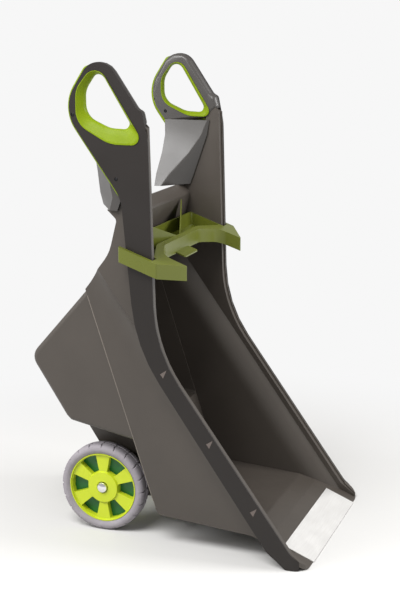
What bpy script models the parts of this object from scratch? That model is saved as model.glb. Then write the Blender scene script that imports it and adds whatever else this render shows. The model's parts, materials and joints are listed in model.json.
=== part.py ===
"""Upright garden cart: a moulded scoop tub on two wheels, with loop handles, a tool tray and a metal edge.

Axes: X across the cart, -Y towards the scooping mouth, +Y towards the wheels, Z up. Metres. The origin is on
the ground, in the middle of the cart's footprint. The cart stands on its lip and its wheels.
"""

import math

import bmesh
import bpy
from mathutils import Matrix, Vector

# Overall sizes
FRAME_HALF_WIDTH = 0.238  # outer face of the side frames
NECK_HALF_WIDTH = 0.2195  # outer face of the tub between the arms
DEEP_HALF_WIDTH = 0.199  # outer face of the tub's deep body, beside the flared rim
WALL = 0.004  # moulded wall
FRAME_WALL = 0.004
GAP = 0.0003  # clearance kept between pieces that touch
RIM_DEPTH = 0.009  # rolled rim of the tub around its mouth
RIM_ROUNDING = 0.014  # radius of the rim towards the inside

# Side outline of the mouth: a steep upper edge, a bend and a ramp down to the lip (y, z)
SHOULDER = (0.0232, 0.905)
MOUTH_BEND = (0.010, 0.448)
MOUTH_BEND_RADIUS = 0.30
MOUTH_FOOT = (-0.288, 0.035)
LIP_TIP = (-0.3225, 0.0016)
LIP_CORNER = ((0.2380, -0.3195, 0.030), (0.1800, -0.3249))  # seen from above (x, y, radius)
RAMP_DIRECTION = Vector((MOUTH_BEND[0] - MOUTH_FOOT[0], MOUTH_BEND[1] - MOUTH_FOOT[1])).normalized()
RAMP_NORMAL = Vector((RAMP_DIRECTION.y, -RAMP_DIRECTION.x))  # from the mouth into the tub, down and back

# The flare joins the wide rim to the deep body. Distances are measured from the ramp line along RAMP_NORMAL.
FLARE_TOP_HALF_WIDTH = 0.2335
FLARE_SLOPE = 0.90
FLARE_END = (FLARE_TOP_HALF_WIDTH - DEEP_HALF_WIDTH) / FLARE_SLOPE
FLARE_RADIUS = 0.080
DEEP_TAPER = 0.030

# Back of the tub (y, z)
NECK_TOP_Z = 0.735
BACK_OF_NECK = (
    (0.121, NECK_TOP_Z),
    (0.100, 0.715, 0.010),
    (0.118, 0.643, 0.090),
    (0.1735, 0.571, 0.020),
)
REAR_CORNER = (0.3328, 0.392)
REAR_FOOT = (0.247, 0.262)
STEP_LINE_TOP = (0.184, 0.558)
STEP_LINE_FOOT = (0.030, 0.086)
STEP_INSET = 0.004  # the rear half of the tub is this much narrower than the front half
REAR_TAPER = 0.060
REAR_ROUNDING = 0.014  # radius along the edges of the rear half's sides
ARCH_REAR_Z = 0.252
ARCH_FRONT_Z = 0.230
CENTRE_HALF_WIDTH = 0.110  # body between the wheels

# Wheels
AXLE_Y = 0.168
WHEEL_RADIUS = 0.0990
WHEEL_HALF_TRACK = 0.1445  # middle of the tyre
TYRE_WIDTH = 0.044
RIM_RADIUS = 0.0785
AXLE_RADIUS = 0.005
BUSH_RADIUS = 0.0085
HUB_RADIUS = 0.0345
CAP_RECESS_RADIUS = 0.0134
SPOKES = 6
WINDOW = (  # corners of a window (angle, radius)
    (-0.30, 0.0740),
    (-0.10, 0.0745),
    (0.10, 0.0745),
    (0.30, 0.0740),
    (0.27, 0.0375),
    (-0.27, 0.0375),
)

# Loop handles. Outlines of the hand hole, as (y, z, corner radius): at the outer cover, at the lining's crest
# and at the inner shell.
HOLE_OUTER = (
    (0.1325, 1.0395, 0.026),
    (0.0275, 0.8725, 0.016),
    (0.1050, 0.8725, 0.080),
    (0.1790, 0.9130, 0.045),
    (0.1785, 0.9815, 0.045),
)
HOLE_CREST = (
    (0.1325, 1.0285, 0.018),
    (0.0560, 0.9025, 0.012),
    (0.1100, 0.9045, 0.060),
    (0.1640, 0.9280, 0.035),
    (0.1640, 0.9790, 0.040),
)
HOLE_INNER = (
    (0.1265, 1.0360, 0.024),
    (0.0380, 0.8935, 0.014),
    (0.1000, 0.8935, 0.070),
    (0.1680, 0.9250, 0.040),
    (0.1690, 0.9800, 0.045),
)
RING_INNER_X = 0.2135
CREST_X = 0.225
LINING_PROUD = 0.0015
CORE_INNER_X = 0.2276  # the green core lies between the two shells of the arm
CORE_OUTER_X = 0.2336
BEAD = 0.0055  # how far the core stands out of the arm's rear edge
BEAD_END_Y = 0.146
FRAME_SCREWS = ((0.1864, 0.9306), (0.092, 0.802))  # driven from outside
SHELL_SCREW = (0.1576, 0.9038)  # driven from inside
SCREW_HEAD_RADIUS = 0.0036
SCREW_RADIUS = 0.0017
CLIP_NOTCHES = ((-0.012, 0.396), (-0.114, 0.254), (-0.211, 0.116))
NOTCH = ((-0.0045, 0.0120), (0.0110, 0.0020), (0.0040, -0.0080))
LOOP_TOP = (0.1285, 1.0700, 0.040)
LOOP_REAR = (0.2098, 0.944, 0.075)
LOOP_SHOULDER = ((0.0440, 0.9450, 0.020), (0.0335, 0.9405, 0.010), (0.0215, 0.8800, 0.120))
ARM_JOIN_Z = 0.763  # where the loop's straight rear edge meets the side frame's band

# Scoop edge plate
EDGE_HALF_WIDTH = 0.180
EDGE_REAR = (-0.259, 0.0300)
EDGE_FRONT = (-0.3249, 0.0026)
EDGE_THICKNESS = 0.0015
EDGE_SCREW_Y = -0.298
EDGE_SCREW_X = (-0.150, -0.060, 0.060, 0.150)

# Tool tray: its deck slopes down to the front
TRAY_TOP_Z = 0.6335  # at y = 0
TRAY_SLOPE = 0.36
TRAY_DEPTH = 0.031
TRAY_HALF_WIDTH = 0.2505
TRAY_WALL = 0.003
TRAY_FRONT_Y = 0.037
TRAY_REAR_Y = 0.096
TRAY_BAND = 0.011  # flat top behind the front edge
SLOT_INNER = 0.2149  # the slots take the cart's sides, from their front edge back
SLOT_OUTER = 0.2389
SLOT_END_Y = 0.0128
WELL_OUTER = 0.2115
DIVIDER_FRONT = (0.012, TRAY_FRONT_Y + 0.010, 0.6515)  # ends of a divider's top edge (x, y, z)
DIVIDER_REAR = (0.150, 0.0950, 0.706)

# Saddles that hold the axle to the tub
CLAMP_X = 0.088
CLAMP_WIDTH = 0.024
CLAMP_FLANGE = 0.006
CLAMP_SCREWS = (-0.020, 0.020)  # along the wall, from the axle

# Wing of the inner shell. At each height, its corners (x, y[, radius]): at the cover in front and behind, at
# the rear, at the ridge and at the tub's wall.
WING_SECTIONS = (
    (0.735, ((0.227, 0.0950), (0.227, 0.1120), (0.1470, 0.1610), (0.1500, 0.1450, 0.008), (0.2120, 0.0955))),
    (0.762, ((0.227, 0.0850), (0.227, 0.1050), (0.1610, 0.1615), (0.1660, 0.1275, 0.016), (0.2120, 0.0855))),
    (0.810, ((0.227, 0.0680), (0.227, 0.1150), (0.1852, 0.1560), (0.1930, 0.0880, 0.018), (0.2122, 0.0685))),
    (0.850, ((0.227, 0.0540), (0.227, 0.1400), (0.2020, 0.1545), (0.2055, 0.0650, 0.010), (0.2124, 0.0545))),
    (0.885, ((0.227, 0.0480), (0.227, 0.1630), (0.2130, 0.1590), (0.2120, 0.0530, 0.006), (0.2138, 0.0485))),
)
WING_WALL = 0.003
ARC_STEP = math.radians(12)
SIDE_NAMES = {-1: "left", 1: "right"}


def clear_scene():
    for obj in list(bpy.data.objects):
        bpy.data.objects.remove(obj, do_unlink=True)


def make_material(name, colour, roughness, metallic=0.0):
    material = bpy.data.materials.new(name)
    material.use_nodes = True
    shader = material.node_tree.nodes["Principled BSDF"]
    shader.inputs["Base Color"].default_value = (*colour, 1.0)
    shader.inputs["Roughness"].default_value = roughness
    shader.inputs["Metallic"].default_value = metallic
    return material


def rounded(corners, step=ARC_STEP, segments=None):
    """Closed outline through corners (a, b[, radius]), with an arc at each corner that has a radius."""
    points = []
    count = len(corners)
    for i, corner in enumerate(corners):
        here = Vector(corner[:2])
        radius = corner[2] if len(corner) > 2 else 0.0
        to_last = (Vector(corners[i - 1][:2]) - here).normalized()
        to_next = (Vector(corners[(i + 1) % count][:2]) - here).normalized()
        half = math.acos(max(-1.0, min(1.0, to_last.dot(to_next)))) / 2
        if radius <= 0 or half > math.radians(89):
            points.append(here)
            continue
        centre = here + (to_last + to_next).normalized() * radius / math.sin(half)
        start = here + to_last * radius / math.tan(half) - centre
        end = here + to_next * radius / math.tan(half) - centre
        turn = math.pi - 2 * half
        side = 1.0 if start.x * end.y - start.y * end.x > 0 else -1.0
        count_here = segments or max(2, math.ceil(turn / step))
        for k in range(count_here + 1):
            angle = side * turn * k / count_here
            points.append(
                centre
                + Vector(
                    (
                        start.x * math.cos(angle) - start.y * math.sin(angle),
                        start.x * math.sin(angle) + start.y * math.cos(angle),
                    )
                )
            )
    return points


def area(outline):
    return sum(p.x * q.y - q.x * p.y for p, q in zip(outline, outline[1:] + outline[:1])) / 2


def inset(outline, distance):
    """The closed outline moved inwards by distance, or outwards if it is negative."""
    sign = 1.0 if area(outline) > 0 else -1.0
    moved = []
    for before, here, after in zip(outline[-1:] + outline[:-1], outline, outline[1:] + outline[:1]):
        first = (here - before).normalized()
        second = (after - here).normalized()
        inward = sign * (Vector((-first.y, first.x)) + Vector((-second.y, second.x)))
        inward.normalize()
        across = abs(inward.dot(Vector((-first.y, first.x))))
        moved.append(here + inward * distance / max(across, 0.3))
    return moved


def new_object(name, bm, material=None):
    bmesh.ops.recalc_face_normals(bm, faces=bm.faces)
    mesh = bpy.data.meshes.new(name)
    bm.to_mesh(mesh)
    bm.free()
    obj = bpy.data.objects.new(name, mesh)
    bpy.context.scene.collection.objects.link(obj)
    if material:
        mesh.materials.append(material)
    return obj


def side_prism(name, outline, x_low, x_high, material=None):
    """Outline in (y, z), extruded across the cart. x_low and x_high may be functions of (y, z)."""
    low = x_low if callable(x_low) else lambda y, z: x_low
    high = x_high if callable(x_high) else lambda y, z: x_high
    bm = bmesh.new()
    near = [bm.verts.new((low(p.x, p.y), p.x, p.y)) for p in outline]
    far = [bm.verts.new((high(p.x, p.y), p.x, p.y)) for p in outline]
    bridge(bm, near, far)
    return new_object(name, bm, material)


def bridge(bm, first, second):
    """Closes two matching loops of vertices into one body."""
    bm.faces.new(first)
    bm.faces.new(list(reversed(second)))
    for i in range(len(first)):
        j = (i + 1) % len(first)
        bm.faces.new((first[j], first[i], second[i], second[j]))


def round_sides(obj, radius):
    """Rounds the edges round both ends of a prism that lies across the cart."""
    bm = bmesh.new()
    bm.from_mesh(obj.data)
    ends = [face for face in bm.faces if abs(face.normal.x) > 0.7]
    edges = {edge for face in ends for edge in face.edges if sum(f in ends for f in edge.link_faces) == 1}
    bmesh.ops.bevel(
        bm, geom=list(edges), offset=radius, segments=3, profile=0.5, affect="EDGES", clamp_overlap=True
    )
    bm.to_mesh(obj.data)
    bm.free()


def loft(name, sections, material=None):
    """One body through matching loops of (x, y, z) points."""
    bm = bmesh.new()
    loops = [[bm.verts.new(point) for point in section] for section in sections]
    for first, second in zip(loops, loops[1:]):
        for i in range(len(first)):
            j = (i + 1) % len(first)
            bm.faces.new((first[j], first[i], second[i]))
            bm.faces.new((first[j], second[i], second[j]))
    bm.faces.new(loops[0])
    bm.faces.new(list(reversed(loops[-1])))
    return new_object(name, bm, material)


def sweep(name, path, profile, material=None):
    """Closed profile of (x, distance) points carried along an open path in (y, z). Distance is to the left of
    the path. The profile may be a function of how far along the path it is, from 0 to 1."""
    sections = []
    for i, here in enumerate(path):
        before = path[max(i - 1, 0)]
        after = path[min(i + 1, len(path) - 1)]
        along = (after - before).normalized()
        left = Vector((-along.y, along.x))
        points = profile(i / (len(path) - 1)) if callable(profile) else profile
        sections.append([(x, here.x + left.x * d, here.y + left.y * d) for x, d in points])
    return loft(name, sections, material)


def turned(name, profile, centre, segments, material=None):
    """Closed profile of (radius, x) points turned about the wheel axis through centre (x, y, z)."""
    bm = bmesh.new()
    rings = []
    for k in range(segments):
        angle = 2 * math.pi * k / segments
        rings.append(
            [
                bm.verts.new(
                    (
                        centre[0] + x,
                        centre[1] + radius * math.cos(angle),
                        centre[2] + radius * math.sin(angle),
                    )
                )
                for radius, x in profile
            ]
        )
    for first, second in zip(rings, rings[1:] + rings[:1]):
        for i in range(len(profile)):
            j = (i + 1) % len(profile)
            bm.faces.new((first[i], first[j], second[j], second[i]))
    return new_object(name, bm, material)


def spindle(name, origin, direction, stations, segments=16, material=None):
    """Solid of circles (distance along direction, radius) around a line from origin."""
    along = Vector(direction).normalized()
    across = along.orthogonal().normalized()
    third = along.cross(across)
    loops = []
    for distance, radius in stations:
        centre = Vector(origin) + along * distance
        loops.append(
            [
                centre + (across * math.cos(angle) + third * math.sin(angle)) * radius
                for angle in (2 * math.pi * k / segments for k in range(segments))
            ]
        )
    return loft(name, loops, material)


def straight(length, radius):
    """Stations of a plain cylinder."""
    return [(0.0, radius), (length, radius)]


def bar(name, radius, x_range, y, z, segments=16, material=None):
    """Plain round bar across the cart."""
    low, high = x_range
    return spindle(name, (low, y, z), (1, 0, 0), straight(high - low, radius), segments, material)


def combine(target, tool, operation):
    """Joins tool to target, or cuts it away, and removes tool."""
    modifier = target.modifiers.new(operation.title(), "BOOLEAN")
    modifier.operation = operation
    modifier.object = tool
    graph = bpy.context.evaluated_depsgraph_get()
    mesh = bpy.data.meshes.new_from_object(target.evaluated_get(graph))
    target.modifiers.clear()
    materials = list(target.data.materials)
    target.data = mesh
    mesh.materials.clear()
    for material in materials:
        mesh.materials.append(material)
    bpy.data.objects.remove(tool, do_unlink=True)
    return target


def join(target, *tools):
    for tool in tools:
        combine(target, tool, "UNION")
    return target


def cut(target, *tools):
    for tool in tools:
        combine(target, tool, "DIFFERENCE")
    return target


def move_origin(obj, point):
    """Puts the object's origin at point and leaves its shape where it is."""
    obj.data.transform(Matrix.Translation(-Vector(point)))
    obj.location = point
    return obj


def smooth(obj, degrees=35):
    obj.data.shade_smooth()
    obj.data.set_sharp_from_angle(angle=math.radians(degrees))
    return obj


def mirrored(side, low, high):
    """X range of a piece on the given side: side is -1 for left and +1 for right."""
    return (low, high) if side > 0 else (-high, -low)


def ramp_distance(y, z):
    """Distance of a point behind the straight line of the mouth's ramp."""
    return (Vector((y, z)) - Vector(MOUTH_FOOT)).dot(RAMP_NORMAL)


def mouth_edge():
    """The front edge from the shoulder down to the lip, as (y, z) points."""
    corners = [SHOULDER, (*MOUTH_BEND, MOUTH_BEND_RADIUS), (*MOUTH_FOOT, 0.040), (LIP_TIP[0] - 0.005, 0.0060)]
    return rounded(corners, math.radians(5))


def front_outline():
    """Side outline of the tub's front half, from its mouth back to the step line."""
    corners = [
        (0.0165, NECK_TOP_Z),
        (*MOUTH_BEND, MOUTH_BEND_RADIUS),
        MOUTH_FOOT,
        LIP_TIP,
        (LIP_TIP[0], 0.0),
        (-0.285, 0.0),
        (-0.228, 0.0365, 0.020),
        (-0.190, 0.0490, 0.030),
        (STEP_LINE_FOOT[0] - 0.006, 0.0665, 0.014),
        (STEP_LINE_FOOT[0] + 0.001, 0.090),
        STEP_LINE_TOP,
    ]
    return rounded(corners + list(reversed(BACK_OF_NECK)), math.radians(9))


def rear_outline():
    """Side outline of the tub's rear half, which overlaps the front half."""
    corners = [
        (0.040, ARCH_FRONT_Z - 0.0105),
        (0.236, ARCH_REAR_Z, 0.012),
        (*REAR_FOOT, 0.012),
        (*REAR_CORNER, 0.030),
        (0.1835, 0.5570, 0.030),
        (0.140, 0.575),
        (0.100, 0.420),
    ]
    return rounded(corners, math.radians(15))


def centre_outline():
    """Side outline of the body that reaches down between the wheels."""
    slope = (REAR_CORNER[0] - REAR_FOOT[0]) / (REAR_CORNER[1] - REAR_FOOT[1])
    foot_z = 0.078
    corners = [
        (-0.010, 0.0640),
        (REAR_FOOT[0] + slope * (foot_z - REAR_FOOT[1]), foot_z, 0.015),
        (REAR_FOOT[0] - 0.001, REAR_FOOT[1]),
        (0.200, 0.300),
        (0.050, 0.300),
    ]
    return rounded(corners)


def deep_half_width(y, z):
    return DEEP_HALF_WIDTH - DEEP_TAPER * (ramp_distance(y, z) - FLARE_END)


def rear_half_width(y, z):
    step_y = STEP_LINE_FOOT[0] + (z - STEP_LINE_FOOT[1]) * 0.327
    return deep_half_width(y, z) - STEP_INSET - REAR_TAPER * (y - step_y)


def beside_tub(side, grow):
    """The space beside the tub's flare and deep body, as a long bar along the ramp."""
    lean = math.hypot(1.0, FLARE_SLOPE)
    start = -0.03
    end = 0.70
    section = rounded(
        [
            (start, FLARE_TOP_HALF_WIDTH + grow * lean - FLARE_SLOPE * start),
            (FLARE_END, DEEP_HALF_WIDTH + grow * lean, FLARE_RADIUS),
            (end, DEEP_HALF_WIDTH + grow - DEEP_TAPER * (end - FLARE_END)),
            (end, 0.32),
            (start, 0.32),
        ],
        math.radians(4.5),
    )
    loops = []
    for along in (-0.30, 1.30):
        foot = Vector(MOUTH_FOOT) + RAMP_DIRECTION * along
        loops.append([(side * x, *(foot + RAMP_NORMAL * distance)) for distance, x in section])
    return loft("beside_tub", loops)


def beyond_lip():
    """The space in front of the lip and round its corners."""
    right = [(0.30, -0.36), (0.30, -0.26), (FRAME_HALF_WIDTH, -0.26), *LIP_CORNER]
    left = [(-x, *rest) for x, *rest in reversed(right)]
    plan = rounded(right + left, math.radians(9))
    return loft("beyond_lip", [[(p.x, p.y, z) for p in plan] for z in (-0.05, 0.07)])


def mouth_outline():
    """Side outline of the hollow in the tub's front half, open through the mouth and the top."""
    beyond = -0.50
    above = NECK_TOP_Z + 0.10
    neck = [(y - WALL, z, *radius) for y, z, *radius in BACK_OF_NECK]
    corners = [
        (beyond, above),
        (beyond, LIP_TIP[1] - 0.003),
        (LIP_TIP[0] - 0.0072, LIP_TIP[1] - 0.003),
        (EDGE_REAR[0] - 0.0005, EDGE_REAR[1] - 0.0022),
        (-0.228, 0.0415, 0.020),
        (-0.190, 0.0535, 0.030),
        (STEP_LINE_FOOT[0] - 0.009, 0.0710, 0.012),
        (STEP_LINE_FOOT[0] - 0.003, 0.090),
        (STEP_LINE_TOP[0] - WALL, STEP_LINE_TOP[1]),
        *reversed(neck),
        (neck[0][0] + 0.040, above),
    ]
    return rounded(corners, math.radians(9))


def tub_solid(name, front, grow, outlines_inset=0.0):
    """The tub's form as a solid: its outside, or with the mouth's outline and a negative grow its hollow."""
    rear = inset(rear_outline(), outlines_inset)
    centre = inset(centre_outline(), outlines_inset)
    body = side_prism(name, front, -NECK_HALF_WIDTH - grow, NECK_HALF_WIDTH + grow)
    cut(body, beside_tub(-1, grow), beside_tub(1, grow))
    back = side_prism(
        "back",
        rear,
        lambda y, z: -rear_half_width(y, z) - grow,
        lambda y, z: rear_half_width(y, z) + grow,
    )
    round_sides(back, REAR_ROUNDING + grow)
    middle = side_prism("middle", centre, -CENTRE_HALF_WIDTH - grow, CENTRE_HALF_WIDTH + grow)
    return join(body, back, middle)


def arm_outline():
    """The tub's side wall where it runs up inside an arm, behind the mouth's edge."""
    return rounded(
        [SHOULDER, (0.0165, 0.70), (0.094, 0.70), (0.104, 0.7345), (0.060, 0.880), (0.048, 0.930, 0.010)]
    )


def rim_outline():
    """Band just behind the mouth's edge, from the shoulder to the foot of the ramp."""
    edge = mouth_edge()
    count = len(edge)
    closed = inset(edge + [Vector((-0.4, 0.4)), Vector((-0.2, 1.0))], -RIM_DEPTH)
    return edge + list(reversed(closed[:count]))


def rim_rounding(side):
    """What is cut from the rim to round it towards the inside. It fades out where the rim meets the lip."""
    wall = NECK_HALF_WIDTH - WALL

    def profile(share):
        radius = RIM_ROUNDING * min(1.0, 0.12 + (1.0 - share) * 7.0)
        arc = [
            (wall + radius * (1 - math.cos(angle)), radius * (1 - math.sin(angle)))
            for angle in (math.radians(15 * k) for k in range(7))
        ]
        beyond = 0.003
        points = [(wall - beyond, radius), *arc, (wall + radius, -beyond), (wall - beyond, -beyond)]
        return [(side * x, -d) for x, d in points]

    edge = mouth_edge()
    above = edge[0] + (edge[0] - edge[1]).normalized() * 0.010
    return sweep("rim_rounding", [above] + edge, profile)


def make_tub(material):
    tub = tub_solid("tub_body", front_outline(), 0.0)
    cut(tub, tub_solid("hollow", mouth_outline(), -WALL, WALL))
    inner = NECK_HALF_WIDTH - WALL
    below_ground = [Vector(p) for p in ((-0.5, 0.0002), (0.1, 0.0002), (0.1, -0.1), (-0.5, -0.1))]
    for side in (-1, 1):
        arm = side_prism("arm", arm_outline(), *mirrored(side, inner + 0.0004, NECK_HALF_WIDTH - 0.0002))
        outer = FRAME_HALF_WIDTH - FRAME_WALL - GAP
        rim = side_prism("rim", rim_outline(), *mirrored(side, inner + 0.0002, outer))
        cut(rim, side_prism("below_ground", below_ground, -0.3, 0.3))
        join(tub, arm, rim)
        cut(
            tub,
            rim_rounding(side),
            side_prism("hole", inset(hand_hole(HOLE_INNER), -GAP), *mirrored(side, inner - 0.02, 0.25)),
        )
    cut(tub, beyond_lip())
    tub.data.materials.append(material)
    return smooth(tub, 25)


def loop_outline():
    """Outer outline of a side frame: the handle loop, the arm and the band down to the lip."""
    corners = [
        LOOP_TOP,
        *LOOP_SHOULDER,
        (*MOUTH_BEND, MOUTH_BEND_RADIUS),
        (*MOUTH_FOOT, 0.040),
        (-0.3240, 0.0062),
        (-0.3240, 0.0005),
        (-0.279, 0.0005, 0.006),
        (-0.236, 0.0350, 0.020),
        (0.053, 0.452, 0.35),
        (0.082, ARM_JOIN_Z, 0.08),
        LOOP_REAR,
    ]
    return rounded(corners, math.radians(9))


def hand_hole(corners):
    return rounded(corners, segments=6)


def between(first, second, share):
    """Outline that lies between two matching ones."""
    return [p.lerp(q, share) for p, q in zip(first, second)]


def screw(name, origin, direction, length, material, head=SCREW_HEAD_RADIUS, shaft=SCREW_RADIUS):
    """Pan-head screw: origin is the middle of the head's top, direction points the way it is driven."""
    stations = [
        (0.0, head * 0.75),
        (0.0007, head),
        (0.0022, head),
        (0.0022, shaft),
        (length - 0.002, shaft),
        (length, shaft * 0.4),
    ]
    return smooth(spindle(name, origin, direction, stations, 16, material), 40)


def behind_edge(wall):
    """The room inside a side frame's turned-in edge, open towards the mouth."""
    corners = [
        LOOP_TOP,
        *LOOP_SHOULDER[:2],
        (0.0286, 0.9170),
        (-0.600, 0.9170),
        (-0.600, -0.1000),
        (-0.2783, -0.1000),
        (-0.2783, 0.0011),
        (-0.236, 0.0350, 0.020),
        (0.053, 0.452, 0.35),
        (0.082, ARM_JOIN_Z, 0.08),
        LOOP_REAR,
    ]
    return inset(rounded(corners, math.radians(9)), wall)


def core_web(name, side, grow):
    """The green core's flat part, or with grow the room that it takes."""
    web = side_prism(
        name,
        behind_edge(FRAME_WALL + GAP - grow),
        *mirrored(side, CORE_INNER_X - grow, CORE_OUTER_X + grow),
    )
    below = [
        (-0.7, -0.1),
        (0.4, -0.1),
        (0.4, ARM_JOIN_Z - grow),
        (0.068 - grow, ARM_JOIN_Z - grow),
        (0.049 - grow, 0.880),
        (0.046 - grow, 0.938 - grow),
        (-0.7, 0.938 - grow),
    ]
    return cut(web, side_prism("below", [Vector(p) for p in below], *mirrored(side, 0.190, 0.250)))


def make_side_frame(side, material):
    """Flat outer cover of one side, with its edge turned in to the tub and the inner shell."""
    outline = loop_outline()
    frame = side_prism("side_frame_" + SIDE_NAMES[side], outline, *mirrored(side, 0.200, FRAME_HALF_WIDTH))
    inner_side = mirrored(side, 0.190, FRAME_HALF_WIDTH - FRAME_WALL)
    cut(frame, side_prism("inside", behind_edge(FRAME_WALL), *inner_side))
    arm = [Vector(p) for p in ((-0.02, 0.7345), (0.30, 0.7345), (0.30, 1.10), (-0.02, 1.10))]
    rear = [(0.045, 0.740), (0.30, 0.740), (0.30, 1.10), (0.135, 1.10), (0.135, 1.0), (0.045, 0.87)]
    cut(
        frame,
        side_prism("shell_room", arm, *mirrored(side, 0.190, CORE_INNER_X - 0.0001)),
        side_prism("bead_room", [Vector(p) for p in rear], *inner_side),
        core_web("core_room", side, GAP),
        side_prism("hole", inset(hand_hole(HOLE_OUTER), -GAP), *mirrored(side, 0.190, 0.250)),
        tub_solid("tub", front_outline(), GAP),
        beyond_lip(),
    )
    for y, z in FRAME_SCREWS:
        cut(
            frame,
            bar("bore", SCREW_RADIUS + GAP, mirrored(side, 0.190, 0.2365), y, z),
            bar("head_bore", SCREW_HEAD_RADIUS + GAP, mirrored(side, 0.2355, 0.250), y, z),
        )
    for y, z in CLIP_NOTCHES:
        notch = [Vector((y + a, z + b)) for a, b in NOTCH]
        cut(frame, side_prism("notch", notch, *mirrored(side, FRAME_HALF_WIDTH - 0.0012, 0.250)))
    frame.data.materials.append(material)
    return smooth(frame, 25)


def bead_profile(side, share):
    """Round edge of the green core, on a flange that reaches into the arm. It sinks away at its upper end."""
    middle = (CORE_INNER_X + CORE_OUTER_X) / 2
    radius = (CORE_OUTER_X - CORE_INNER_X) / 2 - GAP
    height = BEAD * min(1.0, (1.0 - share) * 6.0) - 0.0005
    arc = [
        (middle - radius * math.cos(angle), height - radius + radius * math.sin(angle))
        for angle in (math.radians(30 * k) for k in range(7))
    ]
    points = [(middle - radius, -0.0085), *arc, (middle + radius, -0.0085)]
    return [(side * x, -d) for x, d in points]


def make_grip_core(side, material):
    """Soft green core: a web between the arm's shells, the hand hole's lining and a bead at the back."""
    core = core_web("grip_core_" + SIDE_NAMES[side], side, 0.0)
    back = rounded([(0.0862, 0.7690), LOOP_REAR, LOOP_TOP, (0.0440, 0.9450)], math.radians(7))
    back = [p for p in back if p.x > BEAD_END_Y or p.y < 0.90]
    join(core, sweep("bead", back, lambda share: bead_profile(side, share)))
    outer, crest, inner = (hand_hole(corners) for corners in (HOLE_OUTER, HOLE_CREST, HOLE_INNER))
    inner_face = RING_INNER_X - LINING_PROUD
    outer_face = FRAME_HALF_WIDTH + LINING_PROUD
    join(
        core,
        side_prism("outer_lining", outer, *mirrored(side, CORE_INNER_X + 2 * GAP, outer_face)),
        side_prism("inner_lining", inner, *mirrored(side, inner_face, CORE_OUTER_X - 2 * GAP)),
    )
    sections = (
        (inner_face - 0.0030, between(inner, crest, -0.05)),
        (inner_face + 0.0002, between(inner, crest, 0.22)),
        (inner_face + 0.0035, between(inner, crest, 0.72)),
        (CREST_X - 0.004, between(inner, crest, 0.96)),
        (CREST_X, crest),
        (CREST_X + 0.005, between(outer, crest, 0.86)),
        (outer_face - 0.0045, between(outer, crest, 0.52)),
        (outer_face - 0.0012, between(outer, crest, 0.18)),
        (outer_face + 0.0030, between(outer, crest, -0.05)),
    )
    cut(core, loft("opening", [[(side * x, p.x, p.y) for p in outline] for x, outline in sections]))
    for y, z in (*FRAME_SCREWS, SHELL_SCREW):
        cut(core, bar("bore", SCREW_RADIUS + GAP, mirrored(side, 0.210, 0.236), y, z))
    core.data.materials.append(material)
    return smooth(core, 30)


def make_handle_shell(side, material):
    """Inner shell of an arm: the loop's inner half, and a hollow wing that widens down to the tub's back."""
    corners = [
        LOOP_TOP,
        *LOOP_SHOULDER[:2],
        (0.0280, 0.9150, 0.0095),
        (0.0560, 0.8900, 0.012),
        (0.1560, 0.8760, 0.012),
        LOOP_REAR,
    ]
    outline = rounded(corners, segments=6)
    steps = ((CORE_INNER_X - GAP, 0.0), (0.2210, 0.0006), (0.2165, 0.0032), (RING_INNER_X, 0.0080))
    sections = [[(side * x, p.x, p.y) for p in inset(outline, depth)] for x, depth in steps]
    shell = loft("handle_shell_" + SIDE_NAMES[side], sections)

    sections = [(z, rounded(corners, segments=3)) for z, corners in WING_SECTIONS]
    wing = loft("wing", [[(side * p.x, p.y, z) for p in points] for z, points in sections])
    room = [[(side * p.x, p.y, z - WING_WALL) for p in inset(points, WING_WALL)] for z, points in sections]
    join(shell, wing)
    tongue = mirrored(side, NECK_HALF_WIDTH - WALL - GAP, NECK_HALF_WIDTH + GAP)
    cut(
        shell,
        loft("room", room),
        side_prism("tongue", inset(arm_outline(), -GAP), *tongue),
        side_prism("hole", inset(hand_hole(HOLE_INNER), -GAP), *mirrored(side, 0.190, 0.250)),
    )
    for y, z in FRAME_SCREWS:
        cut(shell, bar("bore", SCREW_RADIUS + GAP, mirrored(side, 0.2155, 0.250), y, z))
    y, z = SHELL_SCREW
    cut(
        shell,
        bar("bore", SCREW_RADIUS + GAP, mirrored(side, 0.190, 0.250), y, z),
        bar("head_bore", SCREW_HEAD_RADIUS + GAP, mirrored(side, 0.190, RING_INNER_X + 0.0030), y, z),
    )
    shell.data.materials.append(material)
    return smooth(shell, 25)


def make_handle_screws(side, material):
    name = "handle_screw_" + SIDE_NAMES[side]
    for i, (y, z) in enumerate(FRAME_SCREWS):
        screw(f"{name}_{i + 1}", (side * (FRAME_HALF_WIDTH - 0.0002), y, z), (-side, 0, 0), 0.020, material)
    y, z = SHELL_SCREW
    screw(f"{name}_3", (side * (RING_INNER_X + 0.0005), y, z), (side, 0, 0), 0.019, material)


def make_scoop_edge(material, screw_material):
    """Metal wear plate on the lip of the scoop, screwed on from below."""
    direction = (Vector(EDGE_FRONT) - Vector(EDGE_REAR)).normalized()
    normal = Vector((-direction.y, direction.x))
    if normal.y > 0:
        normal = -normal
    outline = [
        Vector(EDGE_REAR),
        Vector(EDGE_FRONT),
        Vector(EDGE_FRONT) + normal * EDGE_THICKNESS,
        Vector(EDGE_REAR) + normal * EDGE_THICKNESS,
    ]
    side_prism("scoop_edge_plate", outline, -EDGE_HALF_WIDTH, EDGE_HALF_WIDTH, material)
    for i, x in enumerate(EDGE_SCREW_X):
        screw(f"edge_screw_{i + 1}", (x, EDGE_SCREW_Y, 0.0008), (0, 0, 1), 0.0105, screw_material)


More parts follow.
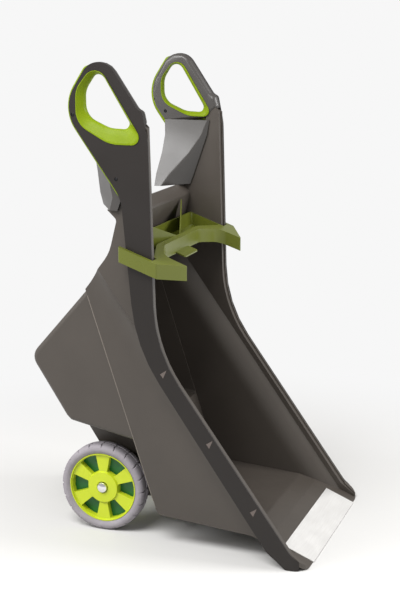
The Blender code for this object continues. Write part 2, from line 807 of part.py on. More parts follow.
def make_wheel(side, rim_material, tyre_material, bush_material):
    label = SIDE_NAMES[side]
    centre = (side * WHEEL_HALF_TRACK, AXLE_Y, WHEEL_RADIUS)
    face = 0.0180 * side
    rim_profile = [
        (BUSH_RADIUS + GAP, -face),
        (RIM_RADIUS, -face),
        (RIM_RADIUS, face),
        (RIM_RADIUS - 0.0020, face),
        (RIM_RADIUS - 0.0032, face * 0.74),
        (HUB_RADIUS + 0.002, face * 0.70),
        (HUB_RADIUS, face * 0.92),
        (CAP_RECESS_RADIUS, face * 0.95),
        (CAP_RECESS_RADIUS, face * 0.72),
        (BUSH_RADIUS + GAP, face * 0.72),
    ]
    rim = turned("wheel_rim_" + label, rim_profile, centre, 48)
    pockets = []
    for k in range(SPOKES):
        middle = 2 * math.pi * k / SPOKES
        corners = []
        for turn, radius in WINDOW:
            y = AXLE_Y + radius * math.cos(middle + turn)
            z = WHEEL_RADIUS + radius * math.sin(middle + turn)
            corners.append((y, z, 0.002))
        depth = mirrored(side, WHEEL_HALF_TRACK - 0.002, 0.190)
        pockets.append(side_prism("pocket", rounded(corners, math.radians(45)), *depth))
    cut(rim, *pockets)
    rim.data.materials.append(rim_material)
    width = TYRE_WIDTH / 2
    tyre_profile = [
        (RIM_RADIUS + GAP, -width * 0.85),
        (WHEEL_RADIUS - 0.010, -width),
        (WHEEL_RADIUS - 0.003, -width * 0.90),
        (WHEEL_RADIUS, -width * 0.60),
        (WHEEL_RADIUS, width * 0.60),
        (WHEEL_RADIUS - 0.003, width * 0.90),
        (WHEEL_RADIUS - 0.010, width),
        (RIM_RADIUS + GAP, width * 0.85),
    ]
    tyre = turned("tyre_" + label, tyre_profile, centre, 48, tyre_material)
    bush_profile = [
        (AXLE_RADIUS + GAP, -0.0190 * side),
        (BUSH_RADIUS, -0.0190 * side),
        (BUSH_RADIUS, 0.0136 * side),
        (AXLE_RADIUS + GAP, 0.0136 * side),
    ]
    bush = turned("wheel_bush_" + label, bush_profile, centre, 24, bush_material)
    for piece in (rim, tyre, bush):
        move_origin(smooth(piece), centre)


def make_axle(steel, plastic, chrome):
    """Axle rod in two clamps on the tub's back, with a spacer, washer and cap at each wheel."""
    y, z = AXLE_Y, WHEEL_RADIUS
    smooth(bar("axle", AXLE_RADIUS, (-0.1640, 0.1640), y, z, 20, steel), 40)
    for side in (-1, 1):
        label = SIDE_NAMES[side]

        def ring(name, inner, outer, x_low, x_high, material):
            profile = [(inner, x_low), (outer, x_low), (outer, x_high), (inner, x_high)]
            return smooth(turned(f"{name}_{label}", profile, (0, y, z), 24, material), 40)

        ring("axle_spacer", AXLE_RADIUS + GAP, 0.0085, *mirrored(side, 0.1010, 0.1250), plastic)
        ring("axle_washer", AXLE_RADIUS + GAP, 0.0100, *mirrored(side, 0.1584, 0.1599), steel)
        stations = [(0.0, 0.0112), (0.0030, 0.0117), (0.0055, 0.0105), (0.0072, 0.0070), (0.0078, 0.0025)]
        cap = spindle(f"axle_cap_{label}", (side * 0.1602, y, z), (side, 0, 0), stations, 24)
        cut(cap, bar("socket", AXLE_RADIUS + GAP, mirrored(side, 0.1540, 0.1643), y, z, 20))
        cap.data.materials.append(chrome)
        smooth(cap, 40)


def clamp_frame():
    """Foot, direction along the wall and normal of the tub's back wall between the wheels, in (y, z)."""
    wall = (Vector(REAR_CORNER[:2]) - Vector(REAR_FOOT)).normalized()
    normal = Vector((wall.y, -wall.x))
    axle = Vector((AXLE_Y, WHEEL_RADIUS))
    foot = axle - normal * (axle - Vector(REAR_FOOT)).dot(normal)
    return foot, wall, normal


def make_axle_clamps(plastic, steel):
    """Two saddles that hold the axle off the tub's back wall, with two screws each."""
    foot, wall, normal = clamp_frame()
    reach = (Vector((AXLE_Y, WHEEL_RADIUS)) - foot).dot(normal)
    saddle = 0.0125
    end = 0.028
    section = [
        (-end, GAP),
        (end, GAP),
        (end, CLAMP_FLANGE),
        (saddle, CLAMP_FLANGE),
        (saddle, reach + saddle, saddle - 0.001),
        (-saddle, reach + saddle, saddle - 0.001),
        (-saddle, CLAMP_FLANGE),
        (-end, CLAMP_FLANGE),
    ]
    outline = [foot + wall * p.x + normal * p.y for p in rounded(section)]
    for side in (-1, 1):
        label = SIDE_NAMES[side]
        x_range = mirrored(side, CLAMP_X - CLAMP_WIDTH / 2, CLAMP_X + CLAMP_WIDTH / 2)
        clamp = side_prism("axle_clamp_" + label, outline, *x_range)
        cut(clamp, bar("bore", AXLE_RADIUS + GAP, (-0.2, 0.2), AXLE_Y, WHEEL_RADIUS, 20))
        for i, along in enumerate(CLAMP_SCREWS):
            top = foot + wall * along + normal * (CLAMP_FLANGE + 0.0026)
            origin = (side * CLAMP_X, top.x, top.y)
            direction = (0, -normal.x, -normal.y)
            cut(clamp, spindle("bore", origin, direction, straight(0.020, SCREW_RADIUS + GAP), 12))
            screw(f"clamp_screw_{label}_{i + 1}", origin, direction, 0.0115, steel)
        clamp.data.materials.append(plastic)
        smooth(clamp, 30)


def tray_top(y, drop=0.0):
    return TRAY_TOP_Z + TRAY_SLOPE * y - drop


def tray_block(name, plan, drop_low, drop_high):
    """Plan outline (x, y) between two planes that slope like the tray, given by their drop below its top."""
    low = [(p.x, p.y, tray_top(p.y, drop_low)) for p in plan]
    high = [(p.x, p.y, tray_top(p.y, drop_high)) for p in plan]
    return loft(name, [low, high])


def tray_plan():
    """Outline from above: a nearly straight front between two noses, and clip arms along both sides."""
    half = [
        (0.000, TRAY_FRONT_Y),
        (0.110, TRAY_FRONT_Y, 0.060),
        (0.176, 0.012, 0.030),
        (0.179, -0.0420, 0.002),
        (TRAY_HALF_WIDTH, 0.000, 0.005),
        (TRAY_HALF_WIDTH, 0.085, 0.004),
        (SLOT_OUTER - 0.008, 0.085),
        (SLOT_OUTER - 0.008, TRAY_REAR_Y),
    ]
    other = [(-x, *rest) for x, *rest in reversed(half[1:])]
    return rounded(half + other)


def in_plan(side, corners):
    """Outline in (x, y) through corners (x, y[, radius]), mirrored for the left side."""
    return rounded([(side * x, *rest) for x, *rest in corners], math.radians(30))


def divider(side):
    """Thin wall across the tray, from the middle of its front towards a rear corner."""
    front, rear = Vector(DIVIDER_FRONT), Vector(DIVIDER_REAR)
    along = (rear - front).xy.normalized()
    half = Vector((-along.y, along.x)) * 0.001
    sections = []
    for shift in (-half, half):
        points = []
        for end in (front, rear):
            foot = tray_top(end.y, TRAY_DEPTH - TRAY_WALL / 2)
            points.append(((end.x + shift.x) * side, end.y + shift.y, foot))
        for end in (rear, front):
            points.append(((end.x + shift.x) * side, end.y + shift.y, end.z))
        sections.append(points)
    return loft("divider", sections)


def make_tray(material):
    """Tool tray that hooks over the front edges of both sides."""
    tray = tray_block("tool_tray", tray_plan(), TRAY_DEPTH, 0.0)
    rear = TRAY_REAR_Y - TRAY_WALL
    front = TRAY_FRONT_Y + TRAY_BAND
    for side in (-1, 1):
        slot = [(SLOT_INNER, 0.20), (SLOT_OUTER, 0.20), (SLOT_OUTER, SLOT_END_Y), (SLOT_INNER, SLOT_END_Y)]
        nose = [(0.1810, 0.0095), (0.1825, -0.0365), (0.2465, 0.0020), (0.2465, 0.0095)]
        cut(
            tray,
            tray_block("slot", in_plan(side, slot), 0.10, -0.10),
            tray_block("nose", in_plan(side, nose), 0.10, TRAY_WALL),
        )
    half = [(0.0, front), (0.1250, front, 0.060), (WELL_OUTER, 0.020, 0.006), (WELL_OUTER, rear, 0.006)]
    other = [(-x, *rest) for x, *rest in reversed(half[1:])]
    cut(tray, tray_block("well", in_plan(1, half + other), TRAY_DEPTH - TRAY_WALL, -0.01))
    for side in (-1, 1):
        join(tray, divider(side))
    root = TRAY_FRONT_Y + 0.001
    lip = [(-0.040, 0.014, 0.006), (0.040, 0.014, 0.006), (0.040, root), (-0.040, root)]
    join(tray, tray_block("lip", in_plan(1, lip), TRAY_DEPTH - 0.001, TRAY_DEPTH - 0.004))
    tray.data.materials.append(material)
    return smooth(tray, 30)


def cut_bores(tub):
    """Holes in the tub for the screws of the axle clamps and of the scoop edge."""
    foot, wall, normal = clamp_frame()
    for x in (-CLAMP_X, CLAMP_X):
        for along in CLAMP_SCREWS:
            top = foot + wall * along + normal * 0.002
            direction = (0, -normal.x, -normal.y)
            cut(tub, spindle("bore", (x, top.x, top.y), direction, straight(0.012, SCREW_RADIUS + GAP), 12))
    head_depth = 0.0033
    for x in EDGE_SCREW_X:
        stations = [
            (-0.010, SCREW_HEAD_RADIUS + GAP),
            (head_depth, SCREW_HEAD_RADIUS + GAP),
            (head_depth, SCREW_RADIUS + GAP),
            (0.030, SCREW_RADIUS + GAP),
        ]
        cut(tub, spindle("bore", (x, EDGE_SCREW_Y, 0.0), (0, 0, 1), stations, 16))


def main():
    clear_scene()
    dark_plastic = make_material("tub_plastic", (0.105, 0.095, 0.088), 0.45)
    frame_plastic = make_material("frame_plastic", (0.050, 0.045, 0.042), 0.40)
    soft_green = make_material("grip_rubber", (0.36, 0.52, 0.03), 0.50)
    tray_green = make_material("tray_plastic", (0.23, 0.28, 0.05), 0.45)
    wheel_green = make_material("wheel_plastic", (0.50, 0.65, 0.03), 0.35)
    tyre_grey = make_material("tyre_rubber", (0.38, 0.36, 0.38), 0.75)
    aluminium = make_material("aluminium", (0.80, 0.79, 0.77), 0.35, 1.0)
    steel = make_material("zinc_steel", (0.60, 0.60, 0.60), 0.35, 1.0)
    black_steel = make_material("black_steel", (0.03, 0.03, 0.03), 0.40, 0.6)
    nylon = make_material("black_nylon", (0.03, 0.03, 0.03), 0.50)
    cut_bores(make_tub(dark_plastic))
    for side in (-1, 1):
        make_side_frame(side, frame_plastic)
        make_grip_core(side, soft_green)
        make_handle_shell(side, dark_plastic)
        make_handle_screws(side, black_steel)
        make_wheel(side, wheel_green, tyre_grey, nylon)
    make_scoop_edge(aluminium, steel)
    make_axle(steel, nylon, steel)
    make_axle_clamps(nylon, steel)
    make_tray(tray_green)


main()
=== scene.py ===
"""Looks of the upright garden cart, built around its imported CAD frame."""

import json
import math

import bmesh
import bpy
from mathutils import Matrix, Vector


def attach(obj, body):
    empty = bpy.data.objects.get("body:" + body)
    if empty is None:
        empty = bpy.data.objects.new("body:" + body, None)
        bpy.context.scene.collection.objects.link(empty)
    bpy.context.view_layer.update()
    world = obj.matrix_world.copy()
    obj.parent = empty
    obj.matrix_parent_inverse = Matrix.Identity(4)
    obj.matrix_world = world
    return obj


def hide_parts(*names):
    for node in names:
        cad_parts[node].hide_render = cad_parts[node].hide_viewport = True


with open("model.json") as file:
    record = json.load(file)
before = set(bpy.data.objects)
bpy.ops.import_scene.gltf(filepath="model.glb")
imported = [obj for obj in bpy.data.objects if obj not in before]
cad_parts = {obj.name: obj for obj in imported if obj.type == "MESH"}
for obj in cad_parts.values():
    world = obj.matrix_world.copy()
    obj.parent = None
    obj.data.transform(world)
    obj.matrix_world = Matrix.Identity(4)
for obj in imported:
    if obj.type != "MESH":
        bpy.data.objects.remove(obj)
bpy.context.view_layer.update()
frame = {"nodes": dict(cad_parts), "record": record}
nodes = frame["nodes"]

SIDES = ((-1, "left"), (1, "right"))  # sign of x, name


# -------------------------------------------------- materials

NOISE_SPAN = (0.3, 0.7)  # holds nearly all of a noise texture's values


def tinted(colour, factor):
    return tuple(min(1.0, c * factor) for c in colour)


class Shader:
    """A Principled material with a few helpers for wiring procedural nodes."""

    def __init__(self, name, colour, roughness, metallic=0.0, specular=0.5):
        self.material = bpy.data.materials.new(name)
        self.material.use_nodes = True
        self.tree = self.material.node_tree
        self.principled = self.tree.nodes["Principled BSDF"]
        self.principled.inputs["Base Color"].default_value = (*colour, 1.0)
        self.principled.inputs["Roughness"].default_value = roughness
        self.principled.inputs["Metallic"].default_value = metallic
        self.principled.inputs["Specular IOR Level"].default_value = specular
        self.coordinates = self.tree.nodes.new("ShaderNodeTexCoord")

    def node(self, kind, **inputs):
        """Adds a node and sets its inputs, named with _ for each space."""
        made = self.tree.nodes.new(kind)
        for key, value in inputs.items():
            made.inputs[key.replace("_", " ")].default_value = value
        return made

    def link(self, source, target):
        self.tree.links.new(source, target)

    def noise(self, scale, detail=2.0, roughness=0.5, stretch=None):
        noise = self.node("ShaderNodeTexNoise", Scale=scale, Detail=detail, Roughness=roughness)
        vector = self.coordinates.outputs["Object"]
        if stretch:
            mapping = self.node("ShaderNodeMapping", Scale=stretch)
            self.link(vector, mapping.inputs["Vector"])
            vector = mapping.outputs["Vector"]
        self.link(vector, noise.inputs["Vector"])
        return noise.outputs["Fac"]

    def ramp(self, factor, stops):
        """Sets the base colour, which follows factor through (position, colour) stops."""
        ramp = self.node("ShaderNodeValToRGB")
        elements = ramp.color_ramp.elements
        while len(elements) < len(stops):
            elements.new(0.5)
        for element, (position, colour) in zip(elements, stops):
            element.position = position
            element.color = (*colour, 1.0)
        self.link(factor, ramp.inputs["Fac"])
        self.link(ramp.outputs["Color"], self.principled.inputs["Base Color"])

    def mottle(self, factor, colour, dark, light):
        """Sets the base colour, which follows factor between two tints of one colour."""
        start, end = NOISE_SPAN
        self.ramp(factor, [(start, tinted(colour, dark)), (end, tinted(colour, light))])

    def roughness(self, factor, low, high):
        """Sets the roughness, which follows factor between low and high."""
        start, end = NOISE_SPAN
        mapped = self.node(
            "ShaderNodeMapRange", From_Min=start, From_Max=end, To_Min=low, To_Max=high
        )
        self.link(factor, mapped.inputs["Value"])
        self.link(mapped.outputs["Result"], self.principled.inputs["Roughness"])

    def bump(self, height, strength, distance):
        """Adds a bump on top of those the material already has."""
        bump = self.node("ShaderNodeBump", Strength=strength, Distance=distance)
        self.link(height, bump.inputs["Height"])
        previous = self.principled.inputs["Normal"].links
        if previous:
            self.link(previous[0].from_socket, bump.inputs["Normal"])
        self.link(bump.outputs["Normal"], self.principled.inputs["Normal"])


def moulded_shader(name, colour, roughness, grain=0.25, variation=0.10, specular=0.45):
    """Injection-moulded plastic: spark-eroded grain, faint flow marks and cloudy gloss."""
    shader = Shader(name, colour, roughness, specular=specular)
    clouds = shader.noise(5.0, detail=4.0, roughness=0.6)
    shader.mottle(clouds, colour, dark=1 - variation, light=1 + variation)
    shader.roughness(shader.noise(9.0, detail=3.0), roughness - 0.05, roughness + 0.06)
    pits = shader.noise(900.0, detail=3.0, roughness=0.6)
    shader.bump(pits, strength=grain, distance=0.0003)
    waves = shader.noise(14.0, detail=1.0)
    shader.bump(waves, strength=0.06, distance=0.002)
    return shader


def moulded_plastic(name, colour, roughness, **finish):
    return moulded_shader(name, colour, roughness, **finish).material


def soft_rubber(name, colour):
    """Soft handle lining: satin, faintly translucent, with a very fine grain."""
    shader = Shader(name, colour, 0.42, specular=0.12)
    shader.mottle(shader.noise(18.0, detail=3.0), colour, dark=0.93, light=1.05)
    shader.roughness(shader.noise(30.0), 0.36, 0.48)
    shader.bump(shader.noise(1400.0), strength=0.12, distance=0.0002)
    shader.principled.inputs["Subsurface Weight"].default_value = 0.08
    shader.principled.inputs["Subsurface Radius"].default_value = (0.004, 0.006, 0.001)
    return shader.material


def tyre_rubber(name, colour):
    """Matt grey rubber, blotched by use."""
    shader = Shader(name, colour, 0.78, specular=0.25)
    shader.ramp(
        shader.noise(26.0, detail=5.0, roughness=0.65),
        [(0.28, tinted(colour, 0.80)), (0.52, colour), (0.75, tinted(colour, 1.15))],
    )
    shader.roughness(shader.noise(40.0), 0.70, 0.86)
    pores = shader.noise(700.0, detail=4.0, roughness=0.7)
    shader.bump(pores, strength=0.35, distance=0.0003)
    return shader.material


def rolled_aluminium(name):
    """Bare sheet with the streaks of its rolling, which run along x."""
    shader = Shader(name, (0.88, 0.865, 0.845), 0.36, metallic=0.60)
    streaks = shader.noise(60.0, detail=5.0, roughness=0.7, stretch=(0.35, 9.0, 9.0))
    start, end = NOISE_SPAN
    shader.ramp(streaks, [(start, (0.82, 0.805, 0.785)), (end, (0.93, 0.92, 0.905))])
    shader.roughness(shader.noise(22.0, detail=4.0), 0.30, 0.46)
    shader.bump(streaks, strength=0.10, distance=0.0002)
    return shader.material


def metal(name, colour, roughness, scratches=0.08):
    """Plated or blackened small metal parts, finely marked."""
    shader = Shader(name, colour, roughness, metallic=1.0)
    marks = shader.noise(160.0, detail=3.0, roughness=0.6)
    shader.roughness(marks, roughness - 0.06, roughness + 0.08)
    shader.bump(marks, strength=scratches, distance=0.0001)
    return shader.material


WINDOW_BACK = 0.1425  # from the middle of the cart to the back wall of a wheel's windows
WINDOW_BACK_REACH = 0.0015  # how far to each side of it a surface counts as the back wall


def wheel_disc(name, colour, window_shade):
    """Moulded plastic with painted shade: the back walls of the windows take the dark green
    window_shade colour.
    """
    shader = moulded_shader(name, colour, 0.30, grain=0.08, variation=0.05)
    base = shader.principled.inputs["Base Color"]
    place = shader.node("ShaderNodeSeparateXYZ")
    from_middle = shader.node("ShaderNodeMath")
    from_middle.operation = "ABSOLUTE"
    at_back = shader.node("ShaderNodeMath")
    at_back.operation = "COMPARE"
    at_back.inputs[1].default_value = WINDOW_BACK
    at_back.inputs[2].default_value = WINDOW_BACK_REACH
    # painted shade: the windows' back walls take window_shade instead of the moulded colour
    mix = shader.node("ShaderNodeMixRGB", Color2=(*window_shade, 1.0))
    shader.link(shader.coordinates.outputs["Object"], place.inputs["Vector"])
    shader.link(place.outputs["X"], from_middle.inputs[0])
    shader.link(from_middle.outputs["Value"], at_back.inputs[0])
    shader.link(at_back.outputs["Value"], mix.inputs["Fac"])
    shader.link(base.links[0].from_socket, mix.inputs["Color1"])
    shader.link(mix.outputs["Color"], base)
    return shader.material


tub_plastic = moulded_plastic("tub_plastic", (0.055, 0.0465, 0.039), 0.40)
shell_plastic = moulded_plastic(
    "shell_plastic", (0.036, 0.032, 0.029), 0.40, grain=0.0, specular=0.75
)
frame_plastic = moulded_plastic(
    "frame_plastic", (0.0175, 0.0145, 0.0130), 0.38, grain=0.18, specular=0.30
)
grip_rubber = soft_rubber("grip_rubber", (0.160, 0.225, 0.0035))
tray_plastic = moulded_plastic(
    "tray_plastic", (0.100, 0.114, 0.013), 0.30, grain=0.06, variation=0.06
)
# the second colour is painted shade on the back walls of the wheel windows
wheel_plastic = wheel_disc("wheel_plastic", (0.46, 0.54, 0.016), (0.012, 0.130, 0.026))
# painted highlight: lighter than tub_plastic, for the light line along the tub's side step
painted_highlight_plastic = moulded_plastic("painted_highlight_plastic", (0.16, 0.14, 0.12), 0.35, grain=0.0)
clip_plastic = moulded_plastic("clip_plastic", (0.110, 0.088, 0.078), 0.45, grain=0.10)
tyre_grey = tyre_rubber("tyre_rubber", (0.27, 0.25, 0.27))
aluminium = rolled_aluminium("aluminium")
zinc_steel = metal("zinc_steel", (0.62, 0.62, 0.60), 0.34)
black_steel = metal("black_steel", (0.035, 0.035, 0.037), 0.40)
black_nylon = moulded_plastic("black_nylon", (0.030, 0.029, 0.030), 0.45)
chrome = metal("chrome", (0.80, 0.80, 0.80), 0.12, scratches=0.02)

SLOT_MATERIALS = {
    "tub_plastic": tub_plastic,
    "frame_plastic": frame_plastic,
    "grip_rubber": grip_rubber,
    "tray_plastic": tray_plastic,
    "wheel_plastic": wheel_plastic,
    "tyre_rubber": tyre_grey,
    "aluminium": aluminium,
    "zinc_steel": zinc_steel,
    "black_steel": black_steel,
    "black_nylon": black_nylon,
    "chrome": chrome,
}


# -------------------------------------------------- carried-over CAD nodes

SMOOTH_ANGLE = 36.0  # degrees: an edge sharper than this stays an edge
WELD_DISTANCE = 0.00002
FLAT_ANGLE = 0.5  # degrees: faces this close to flat are joined before a bevel
BEVEL_ANGLE = 30.0  # degrees: an edge sharper than this is bevelled
BEVEL_SEGMENTS = 2
BEVELS = {  # width, by the start of the node's name
    "tool_tray": 0.0014,
    "wheel_rim": 0.0007,
    "side_frame": 0.0012,
    "tub_body": 0.0008,
}


def smoothing_nodes():
    """Geometry nodes that shade a mesh smooth, except across edges over SMOOTH_ANGLE."""
    group = bpy.data.node_groups.new("smooth_by_angle", "GeometryNodeTree")
    for direction in ("INPUT", "OUTPUT"):
        group.interface.new_socket(
            "Geometry", in_out=direction, socket_type="NodeSocketGeometry"
        )
    start = group.nodes.new("NodeGroupInput")
    end = group.nodes.new("NodeGroupOutput")
    angle = group.nodes.new("GeometryNodeInputMeshEdgeAngle")
    sharp = group.nodes.new("FunctionNodeCompare")
    sharp.data_type = "FLOAT"
    sharp.operation = "GREATER_THAN"
    sharp.inputs["B"].default_value = math.radians(SMOOTH_ANGLE)
    normal = group.nodes.new("GeometryNodeSetMeshNormal")
    normal.mode = "SHARPNESS"
    normal.inputs["Remove Custom"].default_value = True
    normal.inputs["Face Sharpness"].default_value = False
    group.links.new(angle.outputs["Unsigned Angle"], sharp.inputs["A"])
    group.links.new(sharp.outputs["Result"], normal.inputs["Edge Sharpness"])
    group.links.new(start.outputs["Geometry"], normal.inputs["Mesh"])
    group.links.new(normal.outputs["Mesh"], end.inputs["Geometry"])
    return group


smoothing = smoothing_nodes()


def dress(node, material, bevel):
    """Gives a CAD node its material, and smooth shading and any bevel from modifiers."""
    node.material_slots[0].material = material
    weld = node.modifiers.new("weld", "WELD")
    weld.merge_threshold = WELD_DISTANCE
    if bevel:
        flat = node.modifiers.new("flat", "DECIMATE")
        flat.decimate_type = "DISSOLVE"
        flat.angle_limit = math.radians(FLAT_ANGLE)
        rounding = node.modifiers.new("rounding", "BEVEL")
        rounding.width = bevel
        rounding.segments = BEVEL_SEGMENTS
        rounding.limit_method = "ANGLE"
        rounding.angle_limit = math.radians(BEVEL_ANGLE)
    shading = node.modifiers.new("shading", "NODES")
    shading.node_group = smoothing
    normals = node.modifiers.new("normals", "WEIGHTED_NORMAL")
    normals.keep_sharp = True


for entry in frame["record"]["subparts"]:
    name = entry["node"]
    bevel = next((width for start, width in BEVELS.items() if name.startswith(start)), 0.0)
    if name.startswith("handle_shell"):
        material = shell_plastic
    else:
        material = SLOT_MATERIALS[entry["material_slot"]]
    dress(nodes[name], material, bevel)


# -------------------------------------------------- making new pieces


def bridge(bm, loops):
    """Adds the faces between each loop of vertices and the next one."""
    for first, second in zip(loops, loops[1:]):
        for i in range(len(first)):
            j = (i + 1) % len(first)
            bm.faces.new((first[i], first[j], second[j], second[i]))


def make_object(name, bm, material):
    """Turns a bmesh into an object of the scene."""
    mesh = bpy.data.meshes.new(name)
    bm.to_mesh(mesh)
    bm.free()
    mesh.materials.append(material)
    made = bpy.data.objects.new(name, mesh)
    bpy.context.scene.collection.objects.link(made)
    return made


# -------------------------------------------------- tyres with their tread

AXLE_Y, AXLE_Z = 0.168, 0.099
TYRE_TRACK = 0.1445  # from the middle of the cart to the middle of a tyre
TYRE_HALF_WIDTH = 0.022
TREAD_GROOVES = 20
GROOVE_SLANT = 0.045  # radians that a cross groove runs on by, from the middle to the side
TREAD_EDGE_ANGLE = 38.0  # degrees: an edge of the tread sharper than this stays an edge
# Half of the tyre's section, from the bead seat to the middle of the tread:
# (distance from the tyre's middle, radius, depth of the grooves there)
TYRE_SECTION = (
    (0.0170, 0.0790, 0.0),
    (0.0195, 0.0822, 0.0),
    (0.0212, 0.0855, 0.0),
    (0.0218, 0.0885, 0.0),
    (0.0212, 0.0915, 0.0005),
    (0.0204, 0.0938, 0.0016),
    (0.0190, 0.0958, 0.0022),
    (0.0164, 0.0976, 0.0024),
    (0.0125, 0.0985, 0.0024),
    (0.0075, 0.0988, 0.0022),
    (0.0045, 0.0989, 0.0020),
    (0.0038, 0.0972, 0.0004),
    (0.0015, 0.0971, 0.0000),
)
# (place of a ring of vertices within a block's pitch, share of the groove's depth there)
TREAD_PITCH = (
    (0.0, 0.0),
    (0.20, 0.0),
    (0.42, 0.0),
    (0.62, 0.0),
    (0.80, 0.0),
    (0.835, 0.0),
    (0.862, 1.0),
    (0.945, 1.0),
    (0.972, 0.0),
)


def make_tyre(side, label):
    """Tyre with slanted cross grooves between its blocks and one groove round the middle."""
    section = [*TYRE_SECTION, *((-x, r, depth) for x, r, depth in reversed(TYRE_SECTION))]
    bm = bmesh.new()
    rings = []
    for block in range(TREAD_GROOVES):
        for place, share in TREAD_PITCH:
            ring = []
            for x, radius, depth in section:
                slant = GROOVE_SLANT * (abs(x) / TYRE_HALF_WIDTH) ** 2
                turn = 2 * math.pi * (block + place) / TREAD_GROOVES + slant
                here = radius - depth * share
                y = AXLE_Y + here * math.cos(turn)
                z = AXLE_Z + here * math.sin(turn)
                ring.append(bm.verts.new((side * TYRE_TRACK + x, y, z)))
            rings.append(ring)
    bridge(bm, rings + rings[:1])
    bmesh.ops.recalc_face_normals(bm, faces=bm.faces)
    tyre = make_object("treaded_tyre_" + label, bm, tyre_grey)
    tyre.data.shade_smooth()
    tyre.data.set_sharp_from_angle(angle=math.radians(TREAD_EDGE_ANGLE))
    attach(tyre, "wheel_" + label)
    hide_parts("tyre_" + label)


for side, label in SIDES:
    make_tyre(side, label)


# -------------------------------------------------- clips in the side covers' notches

CLIP_NOTCHES = ((-0.012, 0.396), (-0.114, 0.254), (-0.211, 0.116))  # y, z of their middles
CLIP_CORNERS = ((-0.0042, 0.0113), (0.0105, 0.0018), (0.0038, -0.0073))  # y, z from there
CLIP_X = (0.2369, 0.2378)  # from just above the notch's floor to just under the cover's face


def make_clip(side, label, number, middle):
    """Light end of a snap clip, a low triangle in one of a side cover's notches."""
    bm = bmesh.new()
    loops = [
        [bm.verts.new((side * x, middle[0] + y, middle[1] + z)) for y, z in CLIP_CORNERS]
        for x in CLIP_X
    ]
    bm.faces.new(loops[0])
    bm.faces.new(loops[1][::-1])
    bridge(bm, loops)
    bmesh.ops.recalc_face_normals(bm, faces=bm.faces)
    clip = make_object(f"clip_{label}_{number}", bm, clip_plastic)
    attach(clip, "cart")


for side, label in SIDES:
    for number, middle in enumerate(CLIP_NOTCHES, 1):
        make_clip(side, label, number, middle)


# -------------------------------------------------- ridge along the tub's side step, coloured lighter as a painted highlight

RIDGE_LOW = (0.1930, 0.0325, 0.0940)  # its ends on the right side
RIDGE_HIGH = (0.1973, 0.1796, 0.5450)
RIDGE_RADIUS = 0.0012
RIDGE_SIDES = 12
# (place from the low end to the high end, share of the radius there)
RIDGE_TAPER = (
    (0.0, 0.15),
    (0.004, 0.6),
    (0.010, 1.0),
    (0.5, 1.0),
    (0.990, 1.0),
    (0.996, 0.6),
    (1.0, 0.15),
)


def make_ridge(side, label):
    """Fine moulded ridge on the step between the front and the rear half of a tub side, lighter
    than the tub as a painted highlight.
    """
    low, high = (Vector((side * x, y, z)) for x, y, z in (RIDGE_LOW, RIDGE_HIGH))
    along = (high - low).normalized()
    out = Vector((side, 0, 0))
    out = (out - along * out.dot(along)).normalized()
    across = along.cross(out)
    turns = [2 * math.pi * k / RIDGE_SIDES for k in range(RIDGE_SIDES)]
    spokes = [out * math.sin(turn) + across * math.cos(turn) for turn in turns]
    bm = bmesh.new()
    loops = []
    for place, share in RIDGE_TAPER:
        centre = low.lerp(high, place)
        loops.append([bm.verts.new(centre + spoke * RIDGE_RADIUS * share) for spoke in spokes])
    bridge(bm, loops)
    bm.faces.new(loops[0])
    bm.faces.new(loops[-1])
    bmesh.ops.recalc_face_normals(bm, faces=bm.faces)
    ridge = make_object("tub_ridge_" + label, bm, painted_highlight_plastic)
    ridge.data.shade_smooth()
    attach(ridge, "cart")


for side, label in SIDES:
    make_ridge(side, label)


# -------------------------------------------------- stage, lights and camera

BACKDROP = 0.93  # brightness of the white background
ROOM_LIGHT = 0.50  # brightness of the room as a light
FLOOR_REACH = 12.0  # half of the floor's side
FLOOR_FADE = (0.35, 1.25)  # from the origin, where the floor starts and ends turning white
CAMERA_PLACE = (-2.722, -0.979, 1.163)
CAMERA_DIRECTION = (0.9181, 0.3285, -0.2216)
CAMERA_LENS = 79.76  # millimetres, for a sensor of SENSOR_WIDTH
SENSOR_WIDTH = 36.0
# name, place, point that it faces, width and height, power in watts
LIGHTS = (
    ("overhead", (-1.55, 0.45, 2.65), (0.0, 0.0, 0.5), (1.4, 1.3), 76.0),
    ("rear_left", (-1.6, 2.2, 2.0), (0.0, 0.0, 0.6), (1.2, 1.8), 58.0),
    ("front_right", (0.6, -2.7, 1.8), (0.0, -0.1, 0.4), (1.4, 1.4), 88.0),
)


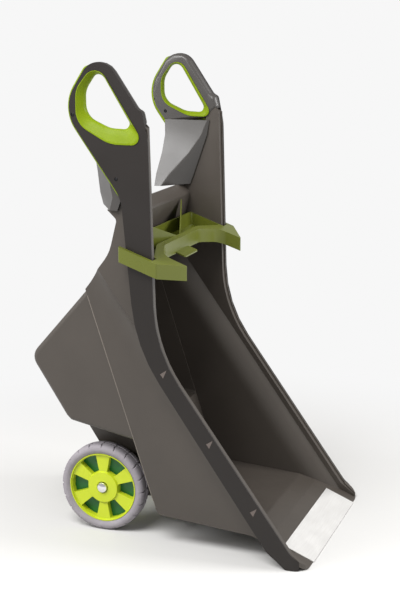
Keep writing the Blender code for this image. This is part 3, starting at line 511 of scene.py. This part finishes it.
def make_floor():
    """Pale floor that turns into the white of the background round the cart."""
    shader = Shader("floor", (0.60, 0.595, 0.585), 0.7, specular=0.2)
    shader.roughness(shader.noise(3.0), 0.62, 0.76)
    distance = shader.node("ShaderNodeVectorMath")
    distance.operation = "LENGTH"
    start, end = FLOOR_FADE
    fade = shader.node("ShaderNodeMapRange", From_Min=start, From_Max=end)
    fade.interpolation_type = "SMOOTHSTEP"
    white = shader.node("ShaderNodeEmission", Strength=BACKDROP)
    mix = shader.node("ShaderNodeMixShader")
    surface = shader.tree.nodes["Material Output"].inputs["Surface"]
    shader.link(shader.coordinates.outputs["Object"], distance.inputs[0])
    shader.link(distance.outputs["Value"], fade.inputs["Value"])
    shader.link(fade.outputs["Result"], mix.inputs["Fac"])
    shader.link(shader.principled.outputs["BSDF"], mix.inputs[1])
    shader.link(white.outputs["Emission"], mix.inputs[2])
    shader.link(mix.outputs["Shader"], surface)
    bm = bmesh.new()
    bmesh.ops.create_grid(bm, x_segments=1, y_segments=1, size=FLOOR_REACH)
    floor = make_object("floor", bm, shader.material)


def make_world():
    """White room, brighter where the camera sees it than as a light on the cart."""
    world = bpy.data.worlds.new("room")
    bpy.context.scene.world = world
    world.use_nodes = True
    tree = world.node_tree
    tree.nodes.clear()
    output = tree.nodes.new("ShaderNodeOutputWorld")
    mix = tree.nodes.new("ShaderNodeMixShader")
    path = tree.nodes.new("ShaderNodeLightPath")
    room = tree.nodes.new("ShaderNodeBackground")
    backdrop = tree.nodes.new("ShaderNodeBackground")
    room.inputs["Color"].default_value = (1.0, 0.99, 0.97, 1.0)
    room.inputs["Strength"].default_value = ROOM_LIGHT
    backdrop.inputs["Color"].default_value = (1.0, 1.0, 1.0, 1.0)
    backdrop.inputs["Strength"].default_value = BACKDROP
    tree.links.new(path.outputs["Is Camera Ray"], mix.inputs["Fac"])
    tree.links.new(room.outputs["Background"], mix.inputs[1])
    tree.links.new(backdrop.outputs["Background"], mix.inputs[2])
    tree.links.new(mix.outputs["Shader"], output.inputs["Surface"])


def aim(thing, direction):
    """Turns a light or a camera to look along direction."""
    thing.rotation_euler = Vector(direction).to_track_quat("-Z", "Y").to_euler()


def make_camera():
    data = bpy.data.cameras.new("camera")
    data.sensor_width = SENSOR_WIDTH
    data.lens = CAMERA_LENS
    camera = bpy.data.objects.new("camera", data)
    camera.location = CAMERA_PLACE
    aim(camera, CAMERA_DIRECTION)
    bpy.context.scene.collection.objects.link(camera)
    bpy.context.scene.camera = camera


def make_light(name, place, target, size, power):
    data = bpy.data.lights.new(name, "AREA")
    data.shape = "RECTANGLE"
    data.size, data.size_y = size
    data.energy = power
    light = bpy.data.objects.new(name, data)
    light.location = place
    aim(light, Vector(target) - Vector(place))
    bpy.context.scene.collection.objects.link(light)


make_floor()
make_world()
make_camera()
for light in LIGHTS:
    make_light(*light)

bpy.context.scene.view_settings.view_transform = "Standard"
